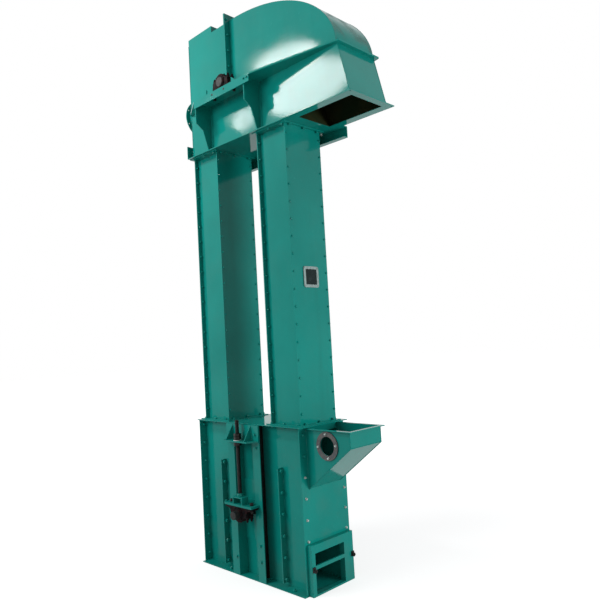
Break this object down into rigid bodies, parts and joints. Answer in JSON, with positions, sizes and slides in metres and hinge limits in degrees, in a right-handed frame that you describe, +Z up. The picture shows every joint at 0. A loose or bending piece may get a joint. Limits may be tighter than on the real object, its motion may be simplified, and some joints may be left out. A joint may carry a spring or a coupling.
{
  "type": "bucket elevator",
  "caption": "Two-leg belt bucket elevator with inlet hopper, curved discharge head, screw take-up on the boot and a down-facing outlet.",
  "frame": {"origin": "middle of the boot's footprint, on the floor", "axes": "+X towards the inlet hopper and the outlet, -Y towards the front with the take-up screw, +Z up"},
  "size_m": [1.928, 0.845, 4.2443],
  "materials": {
    "green_paint": "gloss",
    "dark_steel": "satin",
    "bearing_black": "satin",
    "port_grey": "matt",
    "bare_aluminium": "satin",
    "dark_glass": "gloss",
    "belt_rubber": "matt",
    "bucket_plastic": "matt",
    "steel": "satin",
    "pulley_iron": "matt"
  },
  "bodies": {
    "casing": {"boot_floor_plate": "green_paint", "boot_left_end_plate": "green_paint", "boot_right_end_plate": "green_paint", "boot_front_plate": "green_paint", "boot_rear_plate": "green_paint", "boot_edge_lips": "green_paint", "boot_panel_ribs": "green_paint", "boot_top_plate": "green_paint", "take_up_guides": "green_paint", "take_up_brackets": "green_paint", "hopper_side_plates": "green_paint", "hopper_end_plate": "green_paint", "hopper_slope_plate": "green_paint", "hopper_rim": "green_paint", "port_flange": "port_grey", "cleanout_frame": "green_paint", "cleanout_bar": "green_paint", "cleanout_clamps": "dark_steel", "leg_side_plates": "green_paint", "window_side_plate": "green_paint", "leg_face_plates": "green_paint", "leg_lips": "green_paint", "leg_flanges": "green_paint", "window_frame": "bare_aluminium", "window_glass": "dark_glass", "head_base_plate": "green_paint", "outlet_flange": "green_paint", "head_face_plates": "green_paint", "head_left_end_plate": "green_paint", "head_toe_plate": "green_paint", "discharge_plate": "green_paint", "discharge_chute": "green_paint", "split_flange": "green_paint", "bearing_shelves": "green_paint", "shelf_gussets": "green_paint", "head_bearings": "bearing_black", "hood_box_plates": "green_paint", "hood_box_roof": "green_paint", "hood_lid": "green_paint", "hood_joint_flange": "green_paint", "hood_cap_plates": "green_paint", "hood_cap_sheet": "green_paint", "head_vent": "green_paint", "rear_beam": "green_paint", "belt": "belt_rubber", "buckets": "bucket_plastic"},
    "take_up": {"take_up_carriages": "green_paint", "take_up_screws": "dark_steel", "tail_bearings": "bearing_black"},
    "tail_shaft": {"tail_shaft": "steel", "tail_pulley": "pulley_iron"},
    "head_shaft": {"head_shaft": "steel", "head_pulley": "pulley_iron"}
  },
  "joints": [
    {"name": "take_up_slide", "type": "slide", "parent": "casing", "child": "take_up", "axis": [0, 0, 1], "range_m": [0, 0.15]},
    {"name": "tail_shaft_spin", "type": "hinge", "parent": "take_up", "child": "tail_shaft", "pos_m": [0, 0, 0.4733], "axis": [0, 1, 0], "continuous": true},
    {"name": "head_shaft_spin", "type": "hinge", "parent": "casing", "child": "head_shaft", "pos_m": [0, 0, 3.676], "axis": [0, 1, 0], "continuous": true}
  ],
  "couplings": [
    {"joint": "tail_shaft_spin", "follows": "head_shaft_spin", "ratio": 1}
  ]
}
